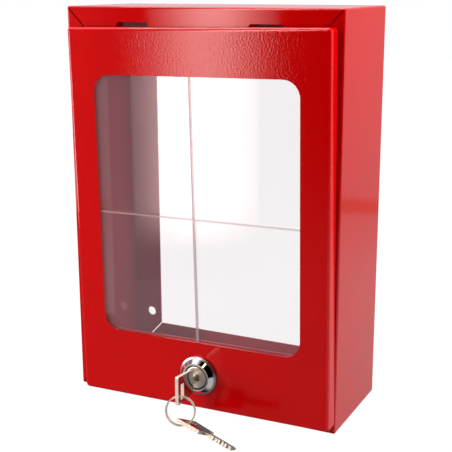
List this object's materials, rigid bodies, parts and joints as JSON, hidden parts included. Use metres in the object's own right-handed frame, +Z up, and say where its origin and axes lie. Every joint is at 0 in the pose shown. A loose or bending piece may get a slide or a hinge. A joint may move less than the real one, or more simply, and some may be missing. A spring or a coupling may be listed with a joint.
{
  "type": "break glass key box",
  "caption": "Wall-mounted red sheet-steel emergency key box with a hook-hung door, a scored clear pane to break, and a cam lock with its keys on a split ring.",
  "frame": {"origin": "centre of the four wall holes, on the plane of the case's back, which is also the centre of the back", "axes": "+X to the right as seen from the front, +Y from the door toward the wall, +Z up"},
  "size_m": [0.2, 0.13, 0.2773],
  "materials": {
    "case_paint": "gloss powder coat",
    "door_paint": "gloss powder coat",
    "rail_paint": "gloss powder coat",
    "pane": "clear, scored on its inner face",
    "lock_chrome": "polished",
    "plug_nickel": "satin nickel",
    "key_nickel": "nickel plated, stamped",
    "ring_steel": "bright nickel plated wire",
    "lock_zinc": "bright zinc plated",
    "wafer_brass": "stamped",
    "spring_steel": "drawn wire"
  },
  "bodies": {
    "case": {"case": "case_paint"},
    "door": {"door_panel": "door_paint", "pane": "pane", "pane_rail_left": "rail_paint", "pane_rail_right": "rail_paint", "pane_rail_bottom": "rail_paint", "lock_housing": "lock_chrome", "lock_nut": "lock_zinc", "lock_tooth_washer": "lock_zinc"},
    "plug": {"lock_plug": "plug_nickel", "wafer_springs": "spring_steel", "stop_washer": "lock_zinc", "lock_cam": "lock_zinc", "cam_washer": "lock_zinc", "cam_screw": "lock_zinc"},
    "wafers": {"wafer_1": "wafer_brass", "wafer_2": "wafer_brass", "wafer_3": "wafer_brass", "wafer_4": "wafer_brass", "wafer_5": "wafer_brass"},
    "key": {"turned_key": "key_nickel"},
    "ring": {"split_ring": "ring_steel"},
    "spare": {"spare_key": "key_nickel"}
  },
  "joints": [
    {"name": "door_swing", "type": "hinge", "parent": "case", "child": "door", "pos_m": [0.0011, -0.0794, 0.1252], "axis": [-0.9999, 0, -0.0148], "range_deg": [0, 40]},
    {"name": "plug_turn", "type": "hinge", "parent": "door", "child": "plug", "pos_m": [0.00457, -0.0956, -0.10847], "axis": [0, 1, 0], "range_deg": [0, 90]},
    {"name": "key_slide", "type": "slide", "parent": "plug", "child": "key", "axis": [0, -1, 0], "range_m": [0, 0.026]},
    {"name": "wafer_slide", "type": "slide", "parent": "plug", "child": "wafers", "axis": [0, 0, 1], "range_m": [0, 0.0006], "deforming": ["wafer_springs"]},
    {"name": "ring_swing", "type": "hinge", "parent": "key", "child": "ring", "pos_m": [0.00457, -0.1166, -0.11382], "axis": [-0.9511, -0.309, 0], "range_deg": [-30, 45]},
    {"name": "spare_key_swing", "type": "hinge", "parent": "ring", "child": "spare", "pos_m": [0.00519, -0.11853, -0.12336], "axis": [0.3023, -0.9303, 0.2079], "range_deg": [-90, 60]}
  ],
  "couplings": [
    {"joint": "wafer_slide", "follows": "key_slide", "ratio": 0.023077}
  ]
}
